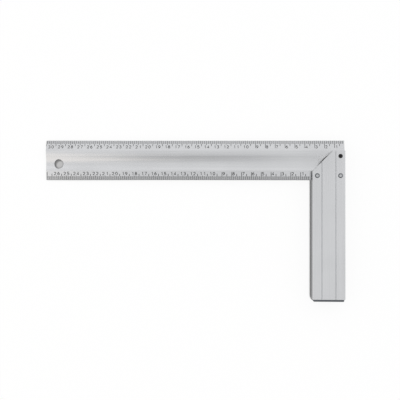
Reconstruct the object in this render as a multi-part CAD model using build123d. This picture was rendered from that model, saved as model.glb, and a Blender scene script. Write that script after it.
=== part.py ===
"""Carpenter square: a bevelled aluminium blade pinned in a hollow, mitred aluminium stock. Millimetres.

The square lies flat with its graduated side up, +Z. The blade runs along X with its tip towards -X, and the
stock hangs from the blade's +X end towards -Y. The origin is under the middle of the whole outline, at the
level of the stock's back face.
"""

import os

from build123d import *

# Blade: an extruded rule, thin at its two scale edges and thicker at the two ridges beside the finger channel
blade_length = 305.0
blade_width = 40.3
ridge_thickness = 5.0
lower_ridge_thickness = 3.3
edge_thickness = 2.4
upper_band = 10.3
shoulder_width = 5.4
shoulder_drop = 0.6
channel_width = 14.9
channel_sag = 1.3
edge_round = 0.25
ridge_round = 0.5
hanging_hole_diameter = 9.0
hanging_hole_from_tip = 12.9
hanging_hole_from_top = 24.0
hanging_hole_chamfer = 0.3

# Stock: a thick-walled extrusion with one flat chamber through its middle, which the blade slides into
stock_width = 32.8
stock_thickness = 18.0
stock_length = 149.6
stock_top_drop = 11.0
mitre = 20.8
side_wall = 2.0
corner_round = 0.45
chamber_round = 0.5
end_chamfer = 0.4
groove_inset = 9.45
groove_width = 0.5
groove_depth = 0.5
blade_end_proud = 0.3

# Locating pins in countersunk holes, just under the stock's face and rooted in the wall behind the blade
pin_diameter = 3.2
pin_from_inner_side = 4.9
pin_from_outer_side = 4.7
pin_above_blade_edge = 4.15
countersink_width = 0.9
countersink_depth = 1.2
pin_sink = 0.3
pin_root = 3.0
pin_chamfer = 0.3

# Socket set screw that holds the blade's outer end
screw_diameter = 4.3
screw_from_outer = 4.8
screw_from_top = 16.5
screw_sink = 0.2
screw_tip_cover = 0.4
screw_chamfer = 0.3
socket_across_flats = 2.0
socket_depth = 1.8

# End plug: a flange over the sawn end and a hollow tongue in the chamber
flange_thickness = 2.1
flange_inset = 1.0
flange_chamfer = 0.7
tongue_length = 10.0
tongue_wall = 1.1
tongue_lead = 0.4

# Fits, as the gap on each side
blade_gap = 0.05
pin_gap = 0.05
screw_gap = 0.05
plug_gap = 0.1

# How far a cutting tool runs past the face it opens
overrun = 1.0

# Datum lines of the square
end_x = blade_length / 2
tip_x = -blade_length / 2
outer_x = end_x - blade_end_proud
inner_x = outer_x - stock_width
top_y = (stock_top_drop + stock_length + flange_thickness) / 2
stock_top_y = top_y - stock_top_drop
stock_end_y = stock_top_y - stock_length
blade_lower_y = top_y - blade_width

# Levels through the thickness, with the blade's chamber in the middle of it
slot_height = ridge_thickness + 2 * blade_gap
slot_floor_z = (stock_thickness - slot_height) / 2
slot_roof_z = slot_floor_z + slot_height
blade_back_z = slot_floor_z + blade_gap
pin_foot_z = slot_floor_z - pin_root
chamber_width = stock_width - 2 * side_wall

# Centres of the fixings
pin_y = blade_lower_y + pin_above_blade_edge
pin_centres = {
    "inner_pin": (inner_x + pin_from_inner_side, pin_y),
    "outer_pin": (outer_x - pin_from_outer_side, pin_y),
}
screw_centre = (outer_x - screw_from_outer, top_y - screw_from_top)


def upright(diameter: float, centre: tuple, low_z: float, high_z: float) -> Part:
    """Cylinder that stands along Z on a centre, between two levels."""
    height = high_z - low_z
    bottom = (Align.CENTER, Align.CENTER, Align.MIN)
    return Pos(*centre, low_z) * Cylinder(diameter / 2, height, align=bottom)


def fixing_holes() -> Part:
    """Drillings that the pins and the screw share between the stock and the blade."""
    holes = Part()
    above_face = stock_thickness + overrun
    for centre in pin_centres.values():
        holes += upright(pin_diameter + 2 * pin_gap, centre, pin_foot_z - pin_gap, above_face)
    return holes + upright(screw_diameter + 2 * screw_gap, screw_centre, slot_floor_z, above_face)


def pin_countersinks() -> Part:
    """Cones that open the pin holes at the stock's face, carried on past it at the same slope."""
    hole_radius = pin_diameter / 2 + pin_gap
    height = countersink_depth + overrun
    mouth_radius = hole_radius + countersink_width * height / countersink_depth
    bottom = (Align.CENTER, Align.CENTER, Align.MIN)
    cones = Part()
    for centre in pin_centres.values():
        cone = Cone(hole_radius, mouth_radius, height, align=bottom)
        cones += Pos(*centre, stock_thickness - countersink_depth) * cone
    return cones


def blade_profile() -> Sketch:
    """Cross-section of the rule, measured down from its top edge and up from its flat back."""
    crease = upper_band + shoulder_width
    lower_ridge = crease + channel_width
    crease_height = ridge_thickness - shoulder_drop
    chord_height = (crease_height + lower_ridge_thickness) / 2
    channel_middle = (crease + channel_width / 2, chord_height - channel_sag)
    upper_bevel = Polyline((0, 0), (0, edge_thickness), (upper_band, ridge_thickness))
    shoulder = TangentArc((upper_band, ridge_thickness), (crease, crease_height), tangent=(1, 0))
    ridge_point = (lower_ridge, lower_ridge_thickness)
    channel = ThreePointArc((crease, crease_height), channel_middle, ridge_point)
    lower_bevel = Polyline(ridge_point, (blade_width, edge_thickness), (blade_width, 0), (0, 0))
    profile = make_face(Curve() + [upper_bevel, shoulder, channel, lower_bevel])
    ridge = profile.vertices().sort_by_distance(ridge_point)[0]
    profile = fillet(ridge, ridge_round)
    edge_corners = [corner for corner in profile.vertices() if corner.Y <= edge_thickness]
    return fillet(edge_corners, edge_round)


def make_blade() -> Part:
    """Rule carried along its length, then drilled for the hook and the fixings."""
    end_plane = Plane(origin=(end_x, top_y, blade_back_z), x_dir=(0, -1, 0), z_dir=(-1, 0, 0))
    blade = extrude(end_plane * blade_profile(), blade_length)
    hook_centre = (tip_x + hanging_hole_from_tip, top_y - hanging_hole_from_top)
    blade -= upright(hanging_hole_diameter, hook_centre, blade_back_z - overrun, slot_roof_z + overrun)
    hook_rims = blade.edges().filter_by(lambda edge: edge.is_closed)
    blade = chamfer(hook_rims, hanging_hole_chamfer)
    return blade - fixing_holes()


def make_stock() -> Part:
    """Extruded section sawn to length and mitred, with its side walls opened for the blade."""
    end_plane = Plane(origin=(inner_x, stock_top_y, 0), x_dir=(1, 0, 0), z_dir=(0, -1, 0))
    outline = RectangleRounded(stock_width, stock_thickness, corner_round)
    stock = extrude(end_plane * Pos(stock_width / 2, stock_thickness / 2) * outline, stock_length)
    sawn_end = stock.faces().sort_by(Axis.Y)[0]
    stock = chamfer(sawn_end.edges(), end_chamfer)

    chamber = RectangleRounded(chamber_width, slot_height, chamber_round)
    stock -= extrude(end_plane * Pos(stock_width / 2, stock_thickness / 2) * chamber, stock_length)

    mouth_half = groove_width / 2 * (groove_depth + overrun) / groove_depth
    groove = Polygon((0, -groove_depth), (mouth_half, overrun), (-mouth_half, overrun), align=None)
    for groove_x in (groove_inset, stock_width - groove_inset):
        stock -= extrude(end_plane * Pos(groove_x, stock_thickness) * groove, stock_length)
        stock -= extrude(end_plane * Pos(groove_x, 0) * Rot(0, 0, 180) * groove, stock_length)

    slot_depth = stock_top_y - blade_lower_y + blade_gap
    low_corner = (Align.MIN, Align.MIN, Align.MIN)
    slot = Box(stock_width + 2 * overrun, slot_depth + overrun, slot_height, align=low_corner)
    stock -= Pos(inner_x - overrun, blade_lower_y - blade_gap, slot_floor_z) * slot

    mitre_corner = Polygon(
        (inner_x - overrun, stock_top_y + overrun),
        (inner_x - overrun, stock_top_y - mitre - overrun),
        (inner_x + mitre + overrun, stock_top_y + overrun),
        align=None,
    )
    stock -= extrude(mitre_corner, stock_thickness)
    return stock - fixing_holes() - pin_countersinks()


def make_pin(centre: tuple) -> Part:
    """Straight pin with chamfered ends."""
    pin = upright(pin_diameter, centre, pin_foot_z, stock_thickness - pin_sink)
    return chamfer(pin.edges().filter_by(GeomType.CIRCLE), pin_chamfer)


def make_clamp_screw() -> Part:
    """Set screw with a hexagon socket, reaching through the face and into the blade."""
    head_z = stock_thickness - screw_sink
    screw = upright(screw_diameter, screw_centre, blade_back_z + screw_tip_cover, head_z)
    screw = chamfer(screw.edges().filter_by(GeomType.CIRCLE), screw_chamfer)
    hexagon = RegularPolygon(socket_across_flats / 2, 6, major_radius=False)
    return screw - extrude(Pos(*screw_centre, head_z) * hexagon, -socket_depth)


def make_end_plug() -> Part:
    """Flange with a softened outer rim, and a hollow tongue, led in by a chamfer, that fills the chamber."""
    middle = (inner_x + stock_width / 2, stock_end_y, stock_thickness / 2)
    flange = Pos(*middle) * Box(
        stock_width - 2 * flange_inset,
        flange_thickness,
        stock_thickness - 2 * flange_inset,
        align=(Align.CENTER, Align.MAX, Align.CENTER),
    )
    flange = chamfer(flange.faces().sort_by(Axis.Y)[0].edges(), flange_chamfer)

    end_plane = Plane(origin=middle, x_dir=(-1, 0, 0), z_dir=(0, 1, 0))
    width = chamber_width - 2 * plug_gap
    height = slot_height - 2 * plug_gap
    tongue = extrude(end_plane * RectangleRounded(width, height, chamber_round), tongue_length)
    tongue = chamfer(tongue.faces().sort_by(Axis.Y)[-1].edges(), tongue_lead)
    hollow = Rectangle(width - 2 * tongue_wall, height - 2 * tongue_wall)
    return flange + (tongue - extrude(end_plane * hollow, tongue_length))


pieces = {
    "blade": make_blade(),
    "stock": make_stock(),
    "clamp_screw": make_clamp_screw(),
    "end_plug": make_end_plug(),
}
for pin_name, pin_centre in pin_centres.items():
    pieces[pin_name] = make_pin(pin_centre)

os.makedirs("parts", exist_ok=True)
for name, piece in pieces.items():
    export_step(piece, f"parts/{name}.step")
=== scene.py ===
"""Looks of a carpenter square: aluminium blade and stock, steel fixings, a moulded plug and printed scales.

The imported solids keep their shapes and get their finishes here. The printed scales are new pieces on them.
Lengths are metres in the frame of the solids: +Z comes out of the graduated face, the blade runs along X
with its tip towards -X, and the stock hangs from the blade towards -Y.
"""

import logging
import math
from dataclasses import dataclass
from enum import Enum

import bpy
import numpy as np
from mathutils import Matrix, Vector


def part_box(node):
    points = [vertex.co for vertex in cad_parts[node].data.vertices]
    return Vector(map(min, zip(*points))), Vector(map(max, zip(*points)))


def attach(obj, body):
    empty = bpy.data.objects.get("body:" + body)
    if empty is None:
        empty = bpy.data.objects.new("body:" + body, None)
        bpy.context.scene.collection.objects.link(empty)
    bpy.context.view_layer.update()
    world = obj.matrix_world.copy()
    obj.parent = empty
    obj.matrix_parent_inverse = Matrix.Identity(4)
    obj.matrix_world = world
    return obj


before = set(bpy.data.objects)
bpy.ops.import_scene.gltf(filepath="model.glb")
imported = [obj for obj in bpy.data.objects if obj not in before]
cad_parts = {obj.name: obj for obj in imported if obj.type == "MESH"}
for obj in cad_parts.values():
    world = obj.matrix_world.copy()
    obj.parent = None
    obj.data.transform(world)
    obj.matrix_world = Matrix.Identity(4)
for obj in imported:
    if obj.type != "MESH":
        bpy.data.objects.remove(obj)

LOG = logging.getLogger("carpenter_square")
MM = 0.001
BODY = "root"

# What a node's input sockets get, by name or number: a constant, or the output socket of another node
Links = dict[str | int, object]

# The Mix node's sockets go by number, because those for numbers and for colours have the same names
MIX_SHARE = 0
NUMBER_A, NUMBER_B, NUMBER_OUT = 2, 3, 0
COLOUR_A, COLOUR_B, COLOUR_OUT = 6, 7, 2

# Fine noise: how many finer layers it has, and how strong each is beside the one before
FINE_LAYERS = 3.0
FINE_SHARE = 0.6


def linear(colour: str) -> tuple[float, float, float, float]:
    """Turns an sRGB hex colour into linear RGBA.

    Args:
        colour: a colour such as "#C8CACC".

    Returns:
        The linear red, green and blue with an alpha of 1.
    """
    shares = np.array([int(colour[i : i + 2], 16) for i in (1, 3, 5)]) / 255
    red, green, blue = np.where(shares <= 0.04045, shares / 12.92, ((shares + 0.055) / 1.055) ** 2.4)
    return float(red), float(green), float(blue), 1.0


def add_node(
    tree: bpy.types.NodeTree, kind: str, links: Links | None = None, **settings: object
) -> bpy.types.Node:
    """Adds one shader node.

    Args:
        tree: the tree that gets the node.
        kind: Blender's name for the type of node.
        links: for each input socket, by name or number, its constant or the output socket it is linked to.
        **settings: properties of the node itself.

    Returns:
        The new node.
    """
    node = tree.nodes.new(kind)
    for name, value in settings.items():
        setattr(node, name, value)
    for socket, value in (links or {}).items():
        if isinstance(value, bpy.types.NodeSocket):
            tree.links.new(value, node.inputs[socket])
        else:
            node.inputs[socket].default_value = value
    return node


def new_tree(name: str) -> tuple[bpy.types.Material, bpy.types.NodeTree]:
    """Makes a material whose node tree is empty.

    Args:
        name: the finish's name.

    Returns:
        The material and its tree.
    """
    material = bpy.data.materials.new(name)
    material.use_nodes = True
    material.node_tree.nodes.clear()
    return material, material.node_tree


def dress(piece: bpy.types.Object, material: bpy.types.Material) -> None:
    """Gives a piece one finish all over, and reports it.

    Args:
        piece: the piece.
        material: its finish.
    """
    piece.data.materials.clear()
    piece.data.materials.append(material)
    LOG.info("%s wears %s", piece.name, material.name)


def new_piece(name: str, points: np.ndarray, faces: np.ndarray) -> bpy.types.Object:
    """Makes a mesh object at the origin.

    Args:
        name: the piece's name.
        points: its vertices, one row of x, y and z each.
        faces: its faces, one row of vertex numbers each.

    Returns:
        The linked object.
    """
    mesh = bpy.data.meshes.new(name)
    mesh.from_pydata(points.tolist(), [], faces.tolist())
    mesh.validate()
    mesh.update()
    piece = bpy.data.objects.new(name, mesh)
    bpy.context.scene.collection.objects.link(piece)
    return piece


class Grain(Enum):
    """Direction in which a bar left its die, as the number of its axis."""

    ALONG_X = 0
    ALONG_Y = 1


@dataclass(frozen=True)
class ExtrudedAluminium:
    """Satin anodised aluminium bar, as extruded and then sawn to length.

    The etch before anodising leaves a pale, soft shine without mirror images. Die lines run the whole length
    of the bar as faint streaks. Sawn faces are rougher and have a tone of their own, which a thin strip along
    an edge can take as painted shade. Closed corners, where faces meet closely, get a colour of their own as
    painted light that lifts their shade. The oxide film swallows some of the light that glances off it.

    Attributes:
        name: the finish's name.
        grain: the direction of the die lines.
        cuts: the directions that the sawn faces look in.
        sawn: colour of the sawn faces, and of a strip along an edge that takes it as painted shade.
        milled_y: Y below which the bar takes the sawn colour as painted shade along its edge. The default
            lies below the whole bar.
        cut_shares: cosines of the angle to a cut's direction where a face begins to look sawn and where it
            looks fully so.
        body: colour of the bar between its streaks.
        streak: colour of the streaks.
        seam: colour painted into the closed corners, painted light that lifts the shade there.
        glance: tint of the light that glances off.
        roughness: mean roughness of the extruded faces.
        roughness_swing: how far the die lines raise and lower it.
        sawn_roughness: roughness of the sawn faces and of the painted edge strip.
        seam_reach: how far off a face still closes a corner for that painted light.
        seam_shares: shares of open sky at which a corner gets all of that painted light and none of it.
        line_spacing: distance between die lines. Real ones are about 0.1 mm apart, and these are drawn
            coarser, so that they show.
        line_length: length of a die line before it changes.
        cloud_size: size of the patches in which the lines show more or less.
        cloud_layers: finer layers of those patches.
        tone_levels: levels of the pattern at which the bar has its body's colour and its streaks'.
        relief_strength: share of the relief that shows.
        relief_depth: depth of the die lines.
    """

    name: str
    grain: Grain
    cuts: tuple[tuple[float, float, float], ...]
    sawn: str
    milled_y: float = -1.0
    cut_shares: tuple[float, float] = (0.93, 0.97)
    body: str = "#CACBCD"
    streak: str = "#D1D2D4"
    seam: str = "#D2D3D5"
    glance: str = "#A8A8A8"
    roughness: float = 0.23
    roughness_swing: float = 0.04
    sawn_roughness: float = 0.5
    seam_reach: float = 2.5 * MM
    seam_shares: tuple[float, float] = (0.3, 0.9)
    line_spacing: float = 0.6 * MM
    line_length: float = 140 * MM
    cloud_size: float = 45 * MM
    cloud_layers: float = 2.0
    tone_levels: tuple[float, float] = (0.12, 0.38)
    relief_strength: float = 0.25
    relief_depth: float = 0.02 * MM

    def build(self) -> bpy.types.Material:
        """Builds the finish.

        Returns:
            The material.
        """
        material, tree = new_tree(self.name)
        place = add_node(tree, "ShaderNodeTexCoord")
        lines = self.die_lines(tree, place)
        sawn = self.sawn_mask(tree, place)
        soft = add_node(
            tree,
            "ShaderNodeMapRange",
            {
                "Value": lines,
                "To Min": self.roughness - self.roughness_swing,
                "To Max": self.roughness + self.roughness_swing,
            },
        )
        rough = add_node(
            tree,
            "ShaderNodeMix",
            {MIX_SHARE: sawn, NUMBER_A: soft.outputs[0], NUMBER_B: self.sawn_roughness},
            data_type="FLOAT",
        )
        relief = add_node(
            tree,
            "ShaderNodeBump",
            {"Height": lines, "Strength": self.relief_strength, "Distance": self.relief_depth},
        )
        shader = add_node(
            tree,
            "ShaderNodeBsdfPrincipled",
            {
                "Base Color": self.colours(tree, place, lines, sawn),
                "Metallic": 1.0,
                "Roughness": rough.outputs[NUMBER_OUT],
                "Specular Tint": linear(self.glance),
                "Normal": relief.outputs[0],
            },
        )
        add_node(tree, "ShaderNodeOutputMaterial", {"Surface": shader.outputs[0]})
        return material

    def die_lines(self, tree: bpy.types.NodeTree, place: bpy.types.Node) -> bpy.types.NodeSocket:
        """Draws the die lines as fine noise that is stretched along the bar.

        Args:
            tree: the material's tree.
            place: its Texture Coordinate node.

        Returns:
            A socket with the lines' strength.
        """
        scale = [1 / self.line_spacing] * 3
        scale[self.grain.value] = 1 / self.line_length
        drawn = add_node(tree, "ShaderNodeMapping", {"Vector": place.outputs["Object"], "Scale": scale})
        lines = add_node(
            tree,
            "ShaderNodeTexNoise",
            {"Vector": drawn.outputs[0], "Scale": 1.0, "Detail": FINE_LAYERS, "Roughness": FINE_SHARE},
        )
        return lines.outputs["Fac"]

    def sawn_mask(self, tree: bpy.types.NodeTree, place: bpy.types.Node) -> bpy.types.NodeSocket:
        """Finds the faces that a saw left, by the way they face, and the strip along the edge that is painted
        as shade, by its Y.

        Args:
            tree: the material's tree.
            place: its Texture Coordinate node.

        Returns:
            A socket that is 1 on cut faces and on the shaded edge strip, and 0 elsewhere.
        """
        axes = add_node(tree, "ShaderNodeSeparateXYZ", {0: place.outputs["Object"]})
        # Painted shade: a strip along the edge, below a given Y, is masked like a cut face and takes the sawn
        # colour
        mask = add_node(
            tree, "ShaderNodeMath", {0: axes.outputs["Y"], 1: self.milled_y}, operation="LESS_THAN"
        )
        none_cut, all_cut = self.cut_shares
        for cut in self.cuts:
            turn = add_node(
                tree,
                "ShaderNodeVectorMath",
                {0: place.outputs["Normal"], 1: Vector(cut).normalized()},
                operation="DOT_PRODUCT",
            )
            share = add_node(
                tree,
                "ShaderNodeMapRange",
                {"Value": turn.outputs["Value"], "From Min": none_cut, "From Max": all_cut},
            )
            mask = add_node(
                tree, "ShaderNodeMath", {0: mask.outputs[0], 1: share.outputs[0]}, operation="MAXIMUM"
            )
        return mask.outputs[0]

    def colours(
        self,
        tree: bpy.types.NodeTree,
        place: bpy.types.Node,
        lines: bpy.types.NodeSocket,
        sawn: bpy.types.NodeSocket,
    ) -> bpy.types.NodeSocket:
        """Lays the bar's colours over each other: streaks in patches, sawn faces, then painted light in
        corners.

        Args:
            tree: the material's tree.
            place: its Texture Coordinate node.
            lines: a socket with the die lines' strength.
            sawn: a socket that is 1 on cut faces and on the shaded edge strip.

        Returns:
            A socket with the colour.
        """
        clouds = add_node(
            tree,
            "ShaderNodeTexNoise",
            {"Vector": place.outputs["Object"], "Scale": 1 / self.cloud_size, "Detail": self.cloud_layers},
        )
        tone = add_node(tree, "ShaderNodeMath", {0: lines, 1: clouds.outputs["Fac"]}, operation="MULTIPLY")
        body_level, streak_level = self.tone_levels
        spread = add_node(
            tree,
            "ShaderNodeMapRange",
            {"Value": tone.outputs[0], "From Min": body_level, "From Max": streak_level},
        )
        plain = add_node(
            tree,
            "ShaderNodeMix",
            {MIX_SHARE: spread.outputs[0], COLOUR_A: linear(self.body), COLOUR_B: linear(self.streak)},
            data_type="RGBA",
        )
        cut = add_node(
            tree,
            "ShaderNodeMix",
            {MIX_SHARE: sawn, COLOUR_A: plain.outputs[COLOUR_OUT], COLOUR_B: linear(self.sawn)},
            data_type="RGBA",
        )
        # Painted light: corners that see little sky within a short reach take the corner colour, which lifts
        # their shade
        sky = add_node(tree, "ShaderNodeAmbientOcclusion", {"Distance": self.seam_reach})
        closed_share, open_share = self.seam_shares
        clear = add_node(
            tree,
            "ShaderNodeMapRange",
            {"Value": sky.outputs["AO"], "From Min": closed_share, "From Max": open_share},
        )
        colour = add_node(
            tree,
            "ShaderNodeMix",
            {MIX_SHARE: clear.outputs[0], COLOUR_A: linear(self.seam), COLOUR_B: cut.outputs[COLOUR_OUT]},
            data_type="RGBA",
        )
        return colour.outputs[COLOUR_OUT]


@dataclass(frozen=True)
class TurnedSteel:
    """Bright steel pin, parted off on a lathe: fine rings about its centre and a dull grey shine.

    Attributes:
        name: the finish's name.
        centre: the pin's middle.
        bright: colour of the rings' crests.
        dull: colour between them.
        roughness: roughness of the steel.
        ring_spacing: distance between rings. Real ones are finer, and these are drawn coarser, so that they
            show.
        ring_waver: how far the rings stray from circles.
        relief_strength: share of the relief that shows.
        relief_depth: depth of the rings.
    """

    name: str
    centre: Vector
    bright: str = "#C4C6C8"
    dull: str = "#A9ABAD"
    roughness: float = 0.34
    ring_spacing: float = 0.4 * MM
    ring_waver: float = 0.6
    relief_strength: float = 0.3
    relief_depth: float = 0.02 * MM

    def build(self) -> bpy.types.Material:
        """Builds the finish.

        Returns:
            The material.
        """
        material, tree = new_tree(self.name)
        place = add_node(tree, "ShaderNodeTexCoord")
        centred = add_node(
            tree, "ShaderNodeMapping", {"Vector": place.outputs["Object"], "Location": -self.centre}
        )
        # At a scale of 1, the rings of the wave pattern are 2 pi / 20 apart
        ring_scale = math.tau / 20 / self.ring_spacing
        rings = add_node(
            tree,
            "ShaderNodeTexWave",
            {"Vector": centred.outputs[0], "Scale": ring_scale, "Distortion": self.ring_waver},
            wave_type="RINGS",
            rings_direction="Z",
        )
        colour = add_node(
            tree,
            "ShaderNodeMix",
            {MIX_SHARE: rings.outputs["Fac"], COLOUR_A: linear(self.dull), COLOUR_B: linear(self.bright)},
            data_type="RGBA",
        )
        relief = add_node(
            tree,
            "ShaderNodeBump",
            {"Height": rings.outputs["Fac"], "Strength": self.relief_strength, "Distance": self.relief_depth},
        )
        shader = add_node(
            tree,
            "ShaderNodeBsdfPrincipled",
            {
                "Base Color": colour.outputs[COLOUR_OUT],
                "Metallic": 1.0,
                "Roughness": self.roughness,
                "Normal": relief.outputs[0],
            },
        )
        add_node(tree, "ShaderNodeOutputMaterial", {"Surface": shader.outputs[0]})
        return material


@dataclass(frozen=True)
class GrainedSolid:
    """Dark solid with a fine grained skin, such as moulded plastic, black oxide or printing ink.

    The grain breaks the shine into a soft sheen, and the tone shifts a little from place to place.

    Attributes:
        name: the finish's name.
        low: colour of the grain's pits.
        high: colour of its crests.
        roughness: mean roughness.
        grain_size: size of the grain. Real grain is finer, and this is drawn coarser, so that it shows.
        relief_depth: depth of the grain.
        roughness_swing: how far the grain raises and lowers the roughness.
        relief_strength: share of the relief that shows.
    """

    name: str
    low: str
    high: str
    roughness: float
    grain_size: float
    relief_depth: float
    roughness_swing: float = 0.08
    relief_strength: float = 0.4

    def build(self) -> bpy.types.Material:
        """Builds the finish.

        Returns:
            The material.
        """
        material, tree = new_tree(self.name)
        place = add_node(tree, "ShaderNodeTexCoord")
        grain = add_node(
            tree,
            "ShaderNodeTexNoise",
            {
                "Vector": place.outputs["Object"],
                "Scale": 1 / self.grain_size,
                "Detail": FINE_LAYERS,
                "Roughness": FINE_SHARE,
            },
        )
        colour = add_node(
            tree,
            "ShaderNodeMix",
            {MIX_SHARE: grain.outputs["Fac"], COLOUR_A: linear(self.low), COLOUR_B: linear(self.high)},
            data_type="RGBA",
        )
        rough = add_node(
            tree,
            "ShaderNodeMapRange",
            {
                "Value": grain.outputs["Fac"],
                "To Min": self.roughness - self.roughness_swing,
                "To Max": self.roughness + self.roughness_swing,
            },
        )
        relief = add_node(
            tree,
            "ShaderNodeBump",
            {"Height": grain.outputs["Fac"], "Strength": self.relief_strength, "Distance": self.relief_depth},
        )
        shader = add_node(
            tree,
            "ShaderNodeBsdfPrincipled",
            {
                "Base Color": colour.outputs[COLOUR_OUT],
                "Roughness": rough.outputs[0],
                "Normal": relief.outputs[0],
            },
        )
        add_node(tree, "ShaderNodeOutputMaterial", {"Surface": shader.outputs[0]})
        return material


# Polyethylene from a textured mould: dark grey with a waxy sheen
MOULDED_PLUG = GrainedSolid(
    name="moulded_polyethylene",
    low="#45494F",
    high="#52565C",
    roughness=0.55,
    grain_size=0.5 * MM,
    relief_depth=0.03 * MM,
)
# Blackened steel: nearly black, with no colour in its faint shine
BLACK_OXIDE = GrainedSolid(
    name="black_oxide_steel",
    low="#121213",
    high="#1C1C1D",
    roughness=0.5,
    grain_size=0.4 * MM,
    relief_depth=0.01 * MM,
)
# Screen printing ink: a matt, even black film
SCALE_INK = GrainedSolid(
    name="printed_scale_ink",
    low="#141516",
    high="#212223",
    roughness=0.6,
    grain_size=0.8 * MM,
    relief_depth=0.005 * MM,
)


@dataclass(frozen=True)
class Band:
    """Flat bevel of the blade that carries one scale.

    Attributes:
        tip_x: X of the blade's sawn tip.
        edge_y: Y of the blade's edge.
        inward: 1 where Y grows from the edge towards the ridge, and -1 where it falls.
        edge_z: height of the bevel's plane at the edge.
        rise: height that the plane gains for each metre inwards.
    """

    tip_x: float
    edge_y: float
    inward: int
    edge_z: float
    rise: float

    def lay(self, flat: np.ndarray, lift: float) -> np.ndarray:
        """Lays flat points on the bevel: the height is that of the plane above each point, plus the lift.

        Points past the tip are drawn back to it, because the saw cuts off what is printed there.

        Args:
            flat: points as x and y, in the last axis.
            lift: height above the plane.

        Returns:
            The points as x, y and z, in the last axis.
        """
        x = np.maximum(flat[..., 0], self.tip_x)
        y = flat[..., 1]
        z = self.edge_z + self.rise * self.inward * (y - self.edge_y) + lift
        return np.stack([x, y, z], axis=-1)


# Degrees between the points of a numeral's arcs
ARC_STEP = 25


def line(*corners: tuple[float, float]) -> np.ndarray:
    """Straight pen strokes from corner to corner."""
    return np.array(corners, float)


def arc(centre: tuple[float, float], radii: tuple[float, float], start: float, end: float) -> np.ndarray:
    """Part of an ellipse: the centre plus each radius times the cosine or sine of an angle.

    Args:
        centre: x and y of the ellipse's middle.
        radii: its half width and half height.
        start: first angle in degrees, from the right, anticlockwise.
        end: last angle in degrees.

    Returns:
        Points about one arc step apart, one row each.
    """
    steps = max(3, round(abs(end - start) / ARC_STEP) + 1)
    angles = np.radians(np.linspace(start, end, steps))
    return np.array(centre) + np.array(radii) * np.stack([np.cos(angles), np.sin(angles)], axis=1)


def ring(centre: tuple[float, float], radii: tuple[float, float]) -> np.ndarray:
    """Whole ellipse, without its last point, which is its first."""
    return arc(centre, radii, 90, 450)[:-1]


def chain(*strokes: np.ndarray) -> np.ndarray:
    """One pen stroke that runs through several in turn."""
    return np.vstack(strokes)


# Centre lines of the numerals in a cell that is 1 high: open strokes, then closed ones
NUMERALS: dict[str, tuple[list[np.ndarray], list[np.ndarray]]] = {
    "0": ([], [ring((0.3, 0.5), (0.3, 0.5))]),
    "1": ([line((0.26, 0.76), (0.5, 1.0), (0.5, 0.0))], []),
    "2": ([chain(arc((0.3, 0.7), (0.29, 0.3), 165, -35), line((0.02, 0.0), (0.6, 0.0)))], []),
    "3": (
        [chain(arc((0.27, 0.755), (0.27, 0.245), 150, -75), arc((0.28, 0.26), (0.31, 0.26), 75, -150))],
        [],
    ),
    "4": ([line((0.46, 0.0), (0.46, 1.0), (0.0, 0.28), (0.64, 0.28))], []),
    "5": (
        [chain(line((0.56, 1.0), (0.1, 1.0), (0.05, 0.52)), arc((0.28, 0.32), (0.32, 0.32), 120, -150))],
        [],
    ),
    "6": ([arc((0.58, 0.32), (0.57, 0.68), 100, 175)], [ring((0.31, 0.31), (0.29, 0.31))]),
    "7": ([line((0.02, 1.0), (0.6, 1.0), (0.2, 0.0))], []),
    "8": ([], [ring((0.3, 0.755), (0.24, 0.245)), ring((0.3, 0.26), (0.3, 0.26))]),
    "9": ([arc((0.04, 0.68), (0.57, 0.68), -80, -5)], [ring((0.3, 0.69), (0.29, 0.31))]),
}

# Width of that cell
FIGURE_WIDTH = 0.6

# Least cosine between a stroke's normal and the mean normal at a corner, which keeps sharp corners short
CORNER_LIMIT = 0.6

# Least length of a mean normal, where a stroke turns straight back
NORMAL_LIMIT = 1e-6


def pen_edges(paths: np.ndarray, width: float, closed: bool) -> np.ndarray:
    """Both edges of pen strokes: each point moved half a width along the mean normal of its two runs.

    Args:
        paths: centre lines, by stroke, point and axis.
        width: width of the pen.
        closed: whether each stroke runs back into its start.

    Returns:
        Left and right edge points, by stroke, point, side and axis.
    """
    runs = np.roll(paths, -1, axis=1) - paths
    if not closed:
        runs[:, -1] = runs[:, -2]
    runs /= np.linalg.norm(runs, axis=2, keepdims=True)
    before = np.roll(runs, 1, axis=1)
    if not closed:
        before[:, 0] = runs[:, 0]
    normals = np.stack([-runs[..., 1], runs[..., 0]], axis=2)
    normals_before = np.stack([-before[..., 1], before[..., 0]], axis=2)
    mean = normals + normals_before
    mean /= np.maximum(np.linalg.norm(mean, axis=2, keepdims=True), NORMAL_LIMIT)
    stretch = 1 / np.maximum((mean * normals).sum(axis=2, keepdims=True), CORNER_LIMIT)
    side = mean * stretch * width / 2
    return np.stack([paths + side, paths - side], axis=2)


def ink_slabs(
    band: Band, paths: np.ndarray, width: float, closed: bool, film: tuple[float, float]
) -> tuple[np.ndarray, np.ndarray]:
    """Films of ink on a bevel: a flat four-sided section that is carried along each stroke.

    The section's corners go from the low left one round to the high left one.

    Args:
        band: the bevel that carries the ink.
        paths: centre lines in the frame, by stroke, point and axis.
        width: width of the pen.
        closed: whether each stroke runs back into its start.
        film: how far the film starts and ends above the bevel.

    Returns:
        The vertices and the four-sided faces.
    """
    edges = pen_edges(paths, width, closed)
    low, high = (band.lay(edges, lift) for lift in film)
    section = np.stack([low[:, :, 0], low[:, :, 1], high[:, :, 1], high[:, :, 0]], axis=2)
    strokes, count, corners = section.shape[:3]
    numbers = np.arange(strokes * count * corners).reshape(strokes, count, corners)
    here = numbers if closed else numbers[:, :-1]
    there = np.roll(numbers, -1, axis=1) if closed else numbers[:, 1:]
    around = [here, there, np.roll(there, -1, axis=2), np.roll(here, -1, axis=2)]
    sides = np.stack(around, axis=3).reshape(-1, len(around))
    if closed:
        return section.reshape(-1, 3), sides
    ends = np.concatenate([numbers[:, 0], numbers[:, -1, ::-1]])
    return section.reshape(-1, 3), np.concatenate([sides, ends])


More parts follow.
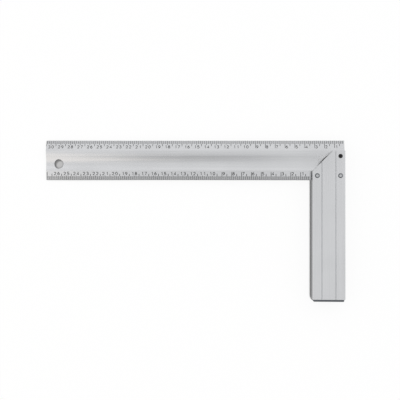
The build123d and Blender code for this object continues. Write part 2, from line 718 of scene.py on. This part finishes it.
def join(parts: list[tuple[np.ndarray, np.ndarray]]) -> tuple[np.ndarray, np.ndarray]:
    """Puts several meshes into one, with each mesh's face numbers moved on past the vertices before it.

    Args:
        parts: the vertices and the faces of each mesh.

    Returns:
        The vertices and the faces of them all.
    """
    starts = np.cumsum([0] + [len(points) for points, _ in parts[:-1]])
    points = np.concatenate([points for points, _ in parts])
    faces = np.concatenate([faces + start for (_, faces), start in zip(parts, starts)])
    return points, faces


# Millimetres in a half and in a whole centimetre
HALF_CENTIMETRE = 5
CENTIMETRE = 10


@dataclass(frozen=True)
class Scale:
    """Printed centimetre scale that counts from the stock towards the blade's tip.

    Attributes:
        name: start of its pieces' names.
        band: the bevel that it is printed on.
        zero_x: X of its zero line.
        millimetres: how many millimetres it counts.
        last_label: its last numeral, in centimetres.
        reaches: how far the millimetre, half and whole centimetre lines come in from the edge.
        label_stop: how far a whole centimetre line comes in where a numeral of two figures stands under it.
        line_widths: widths of the bold lines and of the thin ones. A print like this has lines of one width,
            about 0.2 mm. Each second millimetre is drawn thinner and the rest bolder, so that they show.
        label_low: Y of the numerals' feet.
        label_height: height of the numerals.
        edge_margin: bare metal between the edge and the lines.
        pen_width: width of the numerals' strokes.
        label_gap: distance from a numeral's line to its figures.
        figure_stretch: how much wider the figures are printed than their cells give them.
        film: how far the ink starts and ends above the bevel.
    """

    name: str
    band: Band
    zero_x: float
    millimetres: int
    last_label: int
    reaches: tuple[float, float, float]
    label_stop: float
    line_widths: tuple[float, float]
    label_low: float
    label_height: float
    edge_margin: float = 0.32 * MM
    pen_width: float = 0.5 * MM
    label_gap: float = 0.75 * MM
    figure_stretch: float = 1.15
    film: tuple[float, float] = (-0.02 * MM, 0.03 * MM)

    def build_lines(self) -> bpy.types.Object:
        """Builds the graduation: a stroke for each millimetre, longer at each half and whole centimetre.

        Returns:
            The piece.
        """
        count = np.arange(1, self.millimetres + 1)
        whole = count % CENTIMETRE == 0
        half = (count % HALF_CENTIMETRE == 0) & ~whole
        reach = np.array(self.reaches)[half + 2 * whole]
        labelled = (count >= 10 * CENTIMETRE) & (count <= self.last_label * CENTIMETRE)
        reach[whole & labelled] = self.label_stop
        odd = count % 2 == 1
        bold, thin = self.line_widths
        short = self.reaches[0]
        slabs = [
            self.rule(count[~odd & ~half], self.edge_margin, reach[~odd & ~half], bold),
            self.rule(count[odd], self.edge_margin, short, thin),
            self.rule(count[half], short, reach[half], bold),
        ]
        points, faces = join(slabs)
        return new_piece(f"{self.name}_lines", points, faces)

    def rule(
        self, count: np.ndarray, start: float, end: np.ndarray | float, width: float
    ) -> tuple[np.ndarray, np.ndarray]:
        """Rules straight lines across the band, one at each given millimetre.

        Args:
            count: the millimetres, counted from zero.
            start: how far from the edge each line starts.
            end: how far from the edge each line ends.
            width: width of the lines.

        Returns:
            The vertices and the faces of the ink.
        """
        x = self.zero_x - count * MM
        inwards = np.stack([np.full(len(count), start), np.broadcast_to(end, len(count))], axis=1)
        y = self.band.edge_y + self.band.inward * inwards
        paths = np.stack([np.repeat(x[:, None], 2, axis=1), y], axis=2)
        return ink_slabs(self.band, paths, width, False, self.film)

    def label_cells(self) -> dict[str, np.ndarray]:
        """Finds where each numeral stands.

        The last figure of a number starts a small gap to the right of its line, and a first figure of two
        ends the same gap to the left of it.

        Returns:
            For each figure, X of its cells' left sides.
        """
        cells: dict[str, list[float]] = {figure: [] for figure in NUMERALS}
        cell_width = FIGURE_WIDTH * self.label_height * self.figure_stretch
        for label in range(1, self.last_label + 1):
            x = self.zero_x - label * CENTIMETRE * MM
            figures = str(label)
            cells[figures[-1]].append(x + self.label_gap)
            if len(figures) == 2:
                cells[figures[0]].append(x - self.label_gap - cell_width)
        return {figure: np.array(starts) for figure, starts in cells.items()}

    def build_numerals(self) -> bpy.types.Object:
        """Builds the numerals: each figure's strokes, scaled to the label height and copied to its cells.

        Returns:
            The piece.
        """
        slabs = []
        size = np.array([self.label_height * self.figure_stretch, self.label_height])
        for figure, starts in self.label_cells().items():
            corners = np.stack([starts, np.full(len(starts), self.label_low)], axis=1)
            for closed, strokes in enumerate(NUMERALS[figure]):
                for stroke in strokes:
                    paths = corners[:, None, :] + stroke[None] * size
                    slabs.append(ink_slabs(self.band, paths, self.pen_width, bool(closed), self.film))
        points, faces = join(slabs)
        return new_piece(f"{self.name}_numerals", points, faces)


@dataclass(frozen=True)
class Blade:
    """Extruded rule with a printed scale on each of its two bevels.

    Attributes:
        edge_thickness: thickness at both edges.
        upper_ridge: thickness at the ridge inside the upper bevel.
        lower_ridge: thickness at the ridge inside the lower bevel.
        upper_band: width of the upper bevel.
        lower_band: width of the lower bevel.
        milled_strip: width of the strip along the lower edge that is painted dark as shade.
        upper_zero_gap: how far the upper scale's zero lies past the blade's end.
        lower_zero_gap: how far the lower scale's zero lies off the stock's inner face.
    """

    edge_thickness: float = 2.4 * MM
    upper_ridge: float = 5.0 * MM
    lower_ridge: float = 3.3 * MM
    upper_band: float = 10.3 * MM
    lower_band: float = 9.7 * MM
    milled_strip: float = 0.25 * MM
    upper_zero_gap: float = 0.1 * MM
    lower_zero_gap: float = 0.9 * MM

    def scales(self) -> tuple[Scale, Scale]:
        """Lays out both scales: each bevel's plane rises from the edge to its ridge over its own width.

        Returns:
            The scales along the upper and the lower edge.
        """
        low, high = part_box("blade")
        stock_low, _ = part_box("stock")
        edge_z = low.z + self.edge_thickness
        upper_rise = (self.upper_ridge - self.edge_thickness) / self.upper_band
        lower_rise = (self.lower_ridge - self.edge_thickness) / self.lower_band
        upper = Scale(
            name="upper_scale",
            band=Band(low.x, high.y, -1, edge_z, upper_rise),
            zero_x=high.x + self.upper_zero_gap,
            millimetres=305,
            last_label=30,
            reaches=(3.4 * MM, 5.8 * MM, 7.8 * MM),
            label_stop=4.4 * MM,
            line_widths=(0.48 * MM, 0.16 * MM),
            label_low=high.y - 7.9 * MM,
            label_height=2.75 * MM,
        )
        lower = Scale(
            name="lower_scale",
            band=Band(low.x, low.y, 1, edge_z, lower_rise),
            zero_x=stock_low.x - self.lower_zero_gap,
            millimetres=270,
            last_label=26,
            reaches=(3.8 * MM, 6.2 * MM, 8.0 * MM),
            label_stop=4.4 * MM,
            line_widths=(0.58 * MM, 0.26 * MM),
            label_low=low.y + 5.0 * MM,
            label_height=2.85 * MM,
            edge_margin=0.1 * MM,
            pen_width=0.56 * MM,
            label_gap=0.82 * MM,
        )
        return upper, lower

    def build(self) -> None:
        """Dresses the bar and prints both scales."""
        low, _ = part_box("blade")
        # Both ends are sawn, and a thin strip along the lower edge takes their dark colour as painted shade
        finish = ExtrudedAluminium(
            "anodised_aluminium_blade",
            Grain.ALONG_X,
            cuts=((1, 0, 0), (-1, 0, 0)),
            sawn="#86888A",
            milled_y=low.y + self.milled_strip,
            glance="#CCCCCC",
        )
        dress(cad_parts["blade"], finish.build())
        ink = SCALE_INK.build()
        for scale in self.scales():
            for piece in (scale.build_lines(), scale.build_numerals()):
                dress(piece, ink)
                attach(piece, BODY)


@dataclass(frozen=True)
class Stock:
    """Extruded bar with a flat chamber and a mitred top, its moulded end plug and the fixings of the blade.

    Attributes:
        pins: the nodes of the pins.
        cuts: the directions that the mitre, the top and the plugged end look in.
    """

    pins: tuple[str, str] = ("inner_pin", "outer_pin")
    cuts: tuple[tuple[float, float, float], ...] = ((-1, 1, 0), (0, 1, 0), (0, -1, 0))

    def build(self) -> None:
        """Dresses the bar, the plug and the fixings."""
        # Painted light: the stock's closed corners take a colour lighter than the bar, which lifts their
        # shade
        finish = ExtrudedAluminium(
            "anodised_aluminium_stock",
            Grain.ALONG_Y,
            self.cuts,
            sawn="#F6F6F6",
            seam="#DADBDD",
        )
        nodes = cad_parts
        dress(nodes["stock"], finish.build())
        dress(nodes["end_plug"], MOULDED_PLUG.build())
        dress(nodes["clamp_screw"], BLACK_OXIDE.build())
        for pin in self.pins:
            low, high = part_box(pin)
            dress(nodes[pin], TurnedSteel(f"turned_steel_{pin}", (low + high) / 2).build())


@dataclass(frozen=True)
class Softbox:
    """Square lamp with an even, soft face.

    Attributes:
        name: the lamp's name.
        place: its middle.
        aim: the point it faces.
        side: the length of its sides.
        power: its power in watts.
        colour: the colour of its light.
    """

    name: str
    place: tuple[float, float, float]
    aim: tuple[float, float, float]
    side: float
    power: float
    colour: str = "#FFFFFF"

    def build(self) -> None:
        """Hangs the lamp."""
        light = bpy.data.lights.new(self.name, "AREA")
        light.shape = "SQUARE"
        light.size = self.side
        light.energy = self.power
        light.color = linear(self.colour)[:3]
        lamp = bpy.data.objects.new(self.name, light)
        lamp.location = self.place
        lamp.rotation_euler = (Vector(self.aim) - Vector(self.place)).to_track_quat("-Z", "Y").to_euler()
        bpy.context.scene.collection.objects.link(lamp)


@dataclass(frozen=True)
class Gap:
    """Dim part of the room's air.

    Attributes:
        middle: the direction of its middle.
        half: how far it reaches from there along each axis.
        share: the share of the light that is left in its middle.
        fade: where the light begins to grow and where it is full again, in half sizes from the middle.
    """

    middle: tuple[float, float, float]
    half: tuple[float, float, float]
    share: float
    fade: tuple[float, float] = (0.4, 1.4)

    def dim(self, tree: bpy.types.NodeTree, place: bpy.types.NodeSocket) -> bpy.types.NodeSocket:
        """Works out the light left in each direction: it grows smoothly with the distance, in half sizes.

        Args:
            tree: the world's tree.
            place: a socket with the direction.

        Returns:
            A socket that is the share in the gap's middle and 1 outside it.
        """
        offset = add_node(tree, "ShaderNodeVectorMath", {0: place, 1: self.middle}, operation="SUBTRACT")
        in_halves = add_node(
            tree, "ShaderNodeVectorMath", {0: offset.outputs[0], 1: self.half}, operation="DIVIDE"
        )
        away = add_node(tree, "ShaderNodeVectorMath", {0: in_halves.outputs[0]}, operation="LENGTH")
        near, far = self.fade
        left = add_node(
            tree,
            "ShaderNodeMapRange",
            {"Value": away.outputs["Value"], "From Min": near, "From Max": far, "To Min": self.share},
            interpolation_type="SMOOTHSTEP",
        )
        return left.outputs[0]


@dataclass(frozen=True)
class Studio:
    """White floor, soft light and the camera above the square.

    Attributes:
        floor_half: half the floor's side.
        floor_colour: colour of the paper.
        floor_white: share of the floor that is even white where it is seen or mirrored.
        paper_roughness: roughness of the paper.
        paper_gloss: level of its shine.
        contact_reach: how near the square shades the floor.
        contact_samples: how many rays look for the square from each point.
        contact_shares: shares of open sky where that shade is full and where it ends.
        contact_fade: X of the shade's weak end, towards the blade's tip, and of its strong end.
        contact_whites: white that the shade leaves at those two.
        hole_from_tip: distance from the blade's tip to the hanging hole's middle.
        hole_from_top: distance from the blade's upper edge to it.
        disc_shift: how far the disc of light that falls through the hole lies off the hole, along X and Y.
        disc_radii: where that disc begins to fade and where it ends.
        disc_whites: white in the disc and in the shade round it.
        open_radii: where the shade round the disc begins to fade and where it ends.
        air_colour: colour of the room's light.
        air_strength: its strength overhead.
        horizon_share: share of it that is left at the horizon.
        full_height: height of the direction from which it is full.
        gap: the dim part of the room on the side of the stock's plug.
        lamps: the lamps.
        aim: point that the camera looks at.
        distance: how far the camera stands from it.
        turns: the camera's turns about X, Y and Z in degrees, from looking straight down.
        lens: its focal length in millimetres.
        sensor: its sensor's width in millimetres.
        near_clip: nearest distance that it sees.
    """

    floor_half: float = 3.0
    floor_colour: str = "#FAFAFA"
    floor_white: float = 0.88
    paper_roughness: float = 0.9
    paper_gloss: float = 0.2
    contact_reach: float = 4 * MM
    contact_samples: int = 32
    contact_shares: tuple[float, float] = (0.45, 0.75)
    contact_fade: tuple[float, float] = (-60 * MM, 40 * MM)
    contact_whites: tuple[float, float] = (0.7, 0.1)
    hole_from_tip: float = 12.9 * MM
    hole_from_top: float = 24.0 * MM
    disc_shift: tuple[float, float] = (1.7 * MM, -1.5 * MM)
    disc_radii: tuple[float, float] = (3.7 * MM, 5.5 * MM)
    disc_whites: tuple[float, float] = (0.48, 0.23)
    open_radii: tuple[float, float] = (7.5 * MM, 11.5 * MM)
    air_colour: str = "#FFFFFF"
    air_strength: float = 0.95
    horizon_share: float = 0.75
    full_height: float = 0.45
    gap: Gap = Gap((-0.04, -0.6, 0.8), (0.1, 0.5, 0.5), 0.54)
    lamps: tuple[Softbox, ...] = (
        Softbox("right_softbox", (1.0, 0.4, 0.72), (0.02, 0.0, 0.0), 0.8, 0.9),
        Softbox("left_softbox", (-1.0, 0.3, 1.1), (-0.05, 0.05, 0.0), 1.0, 1.5),
        Softbox("rear_softbox", (0.0, 0.95, 1.4), (0.0, 0.05, 0.0), 1.0, 0.25),
        Softbox("warm_softbox", (-0.72, -0.5, 1.22), (-0.13, 0.05, 0.0), 0.85, 0.75, "#FFEFDC"),
    )
    aim: tuple[float, float, float] = (6.325 * MM, 20.46 * MM, 15.15 * MM)
    distance: float = 0.7
    turns: tuple[float, float, float] = (1.059, 1.984, 0.14)
    lens: float = 62.178
    sensor: float = 36.0
    near_clip: float = 10 * MM

    def build_floor(self) -> None:
        """Lays the floor: a plane through the stock's inner back edge and the back of the blade's tip.

        The square is thicker at its stock, so it rests on those two lines, and the floor is level under it in
        that stance: z falls from the tip's back to the stock's back in proportion to x.
        """
        blade_low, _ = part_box("blade")
        stock_low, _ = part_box("stock")
        slope = (stock_low.z - blade_low.z) / (stock_low.x - blade_low.x)
        half = self.floor_half
        flat = np.array([(-half, -half), (half, -half), (half, half), (-half, half)])
        height = stock_low.z + slope * (flat[:, 0] - stock_low.x)
        floor = new_piece("floor", np.column_stack([flat, height]), np.array([[0, 1, 2, 3]]))
        dress(floor, self.paper())

    def paper(self) -> bpy.types.Material:
        """Builds the floor's finish: matt white paper that stays white in the picture and in reflections.

        Most of what the eye and the metal see of it is even white, dimmed close to the square and under the
        hanging hole. The rest is plain paper with its real shadow.

        Returns:
            The material.
        """
        material, tree = new_tree("matt_white_paper")
        place = add_node(tree, "ShaderNodeTexCoord")
        plain = add_node(
            tree,
            "ShaderNodeBsdfPrincipled",
            {
                "Base Color": linear(self.floor_colour),
                "Roughness": self.paper_roughness,
                "Specular IOR Level": self.paper_gloss,
            },
        )
        strength = add_node(
            tree,
            "ShaderNodeMath",
            {0: self.contact_share(tree, place), 1: self.hole_share(tree, place)},
            operation="MULTIPLY",
        )
        white = add_node(tree, "ShaderNodeEmission", {"Strength": strength.outputs[0]})
        ray = add_node(tree, "ShaderNodeLightPath")
        seen = ray.outputs["Is Camera Ray"]
        for kind in ("Is Glossy Ray", "Is Transmission Ray"):
            either = add_node(tree, "ShaderNodeMath", {0: seen, 1: ray.outputs[kind]}, operation="MAXIMUM")
            seen = either.outputs[0]
        share = add_node(tree, "ShaderNodeMath", {0: seen, 1: self.floor_white}, operation="MULTIPLY")
        surface = add_node(
            tree, "ShaderNodeMixShader", {0: share.outputs[0], 1: plain.outputs[0], 2: white.outputs[0]}
        )
        add_node(tree, "ShaderNodeOutputMaterial", {"Surface": surface.outputs[0]})
        return material

    def contact_share(self, tree: bpy.types.NodeTree, place: bpy.types.Node) -> bpy.types.NodeSocket:
        """Dims the paper close to the square, by the share of the sky that the square hides there.

        The dimming fades along the thin blade, from the stock to the tip.

        Args:
            tree: the floor's tree.
            place: its Texture Coordinate node.

        Returns:
            A socket that is 1 in the open and less close to the square.
        """
        sky = add_node(
            tree,
            "ShaderNodeAmbientOcclusion",
            {"Distance": self.contact_reach},
            samples=self.contact_samples,
        )
        axes = add_node(tree, "ShaderNodeSeparateXYZ", {0: place.outputs["Object"]})
        tip_x, stock_x = self.contact_fade
        tip_white, stock_white = self.contact_whites
        darkest = add_node(
            tree,
            "ShaderNodeMapRange",
            {
                "Value": axes.outputs["X"],
                "From Min": tip_x,
                "From Max": stock_x,
                "To Min": tip_white,
                "To Max": stock_white,
            },
        )
        hidden, clear = self.contact_shares
        dimmed = add_node(
            tree,
            "ShaderNodeMapRange",
            {
                "Value": sky.outputs["AO"],
                "From Min": hidden,
                "From Max": clear,
                "To Min": darkest.outputs[0],
            },
            interpolation_type="SMOOTHSTEP",
        )
        return dimmed.outputs[0]

    def hole_share(self, tree: bpy.types.NodeTree, place: bpy.types.Node) -> bpy.types.NodeSocket:
        """Dims the paper that lies in shade under the blade's tip, where it shows through the hanging hole.

        The light that falls through the hole from one side makes a dim disc there, moved off the hole's
        middle. The share of white falls smoothly round the disc and grows to 1 further out.

        Args:
            tree: the floor's tree.
            place: its Texture Coordinate node.

        Returns:
            A socket that is 1 in the open and less under the hole.
        """
        low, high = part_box("blade")
        shift_x, shift_y = self.disc_shift
        middle_x = low.x + self.hole_from_tip + shift_x
        middle_y = high.y - self.hole_from_top + shift_y
        flat = add_node(
            tree,
            "ShaderNodeVectorMath",
            {0: place.outputs["Object"], 1: (1, 1, 0)},
            operation="MULTIPLY",
        )
        away = add_node(
            tree,
            "ShaderNodeVectorMath",
            {0: flat.outputs[0], 1: (middle_x, middle_y, 0)},
            operation="DISTANCE",
        )
        _, shade_white = self.disc_whites
        steps = ((self.disc_radii, self.disc_whites), (self.open_radii, (0.0, 1.0 - shade_white)))
        disc, surround = (
            add_node(
                tree,
                "ShaderNodeMapRange",
                {
                    "Value": away.outputs["Value"],
                    "From Min": near,
                    "From Max": far,
                    "To Min": inside,
                    "To Max": outside,
                },
                interpolation_type="SMOOTHSTEP",
            )
            for (near, far), (inside, outside) in steps
        )
        white = add_node(
            tree, "ShaderNodeMath", {0: disc.outputs[0], 1: surround.outputs[0]}, operation="ADD"
        )
        return white.outputs[0]

    def build_light(self) -> None:
        """Fills the room with soft light and hangs the lamps.

        The air is even overhead, falls off towards the horizon and has one dim gap.
        """
        world = bpy.data.worlds.new("studio_air")
        world.use_nodes = True
        tree = world.node_tree
        tree.nodes.clear()
        place = add_node(tree, "ShaderNodeTexCoord")
        axes = add_node(tree, "ShaderNodeSeparateXYZ", {0: place.outputs["Generated"]})
        height = add_node(
            tree,
            "ShaderNodeMapRange",
            {"Value": axes.outputs["Z"], "From Max": self.full_height, "To Min": self.horizon_share},
            interpolation_type="SMOOTHSTEP",
        )
        left = self.gap.dim(tree, place.outputs["Generated"])
        level = add_node(tree, "ShaderNodeMath", {0: height.outputs[0], 1: left}, operation="MULTIPLY")
        strength = add_node(
            tree, "ShaderNodeMath", {0: level.outputs[0], 1: self.air_strength}, operation="MULTIPLY"
        )
        air = add_node(
            tree, "ShaderNodeBackground", {"Color": linear(self.air_colour), "Strength": strength.outputs[0]}
        )
        add_node(tree, "ShaderNodeOutputWorld", {"Surface": air.outputs[0]})
        bpy.context.scene.world = world
        for lamp in self.lamps:
            lamp.build()

    def build_camera(self) -> None:
        """Sets up the camera: small turns about X, Y and Z, then a step back from its aim along its axis."""
        turn = Matrix.Identity(3)
        for angle, axis in zip(self.turns, "XYZ"):
            turn = turn @ Matrix.Rotation(math.radians(angle), 3, axis)
        data = bpy.data.cameras.new("camera")
        data.sensor_width = self.sensor
        data.lens = self.lens
        data.clip_start = self.near_clip
        camera = bpy.data.objects.new("camera", data)
        place = Vector(self.aim) + turn @ Vector((0, 0, self.distance))
        camera.matrix_world = Matrix.Translation(place) @ turn.to_4x4()
        bpy.context.scene.collection.objects.link(camera)
        bpy.context.scene.camera = camera

    def build(self) -> None:
        """Builds the stage and the view of it."""
        bpy.context.scene.view_settings.view_transform = "Standard"
        self.build_floor()
        self.build_light()
        self.build_camera()


def main() -> None:
    """Dresses the square and sets the stage."""
    logging.basicConfig(level=logging.INFO, format="%(name)s: %(message)s")
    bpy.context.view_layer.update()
    Blade().build()
    Stock().build()
    Studio().build()
    bpy.context.view_layer.update()


if __name__ == "__main__":
    main()
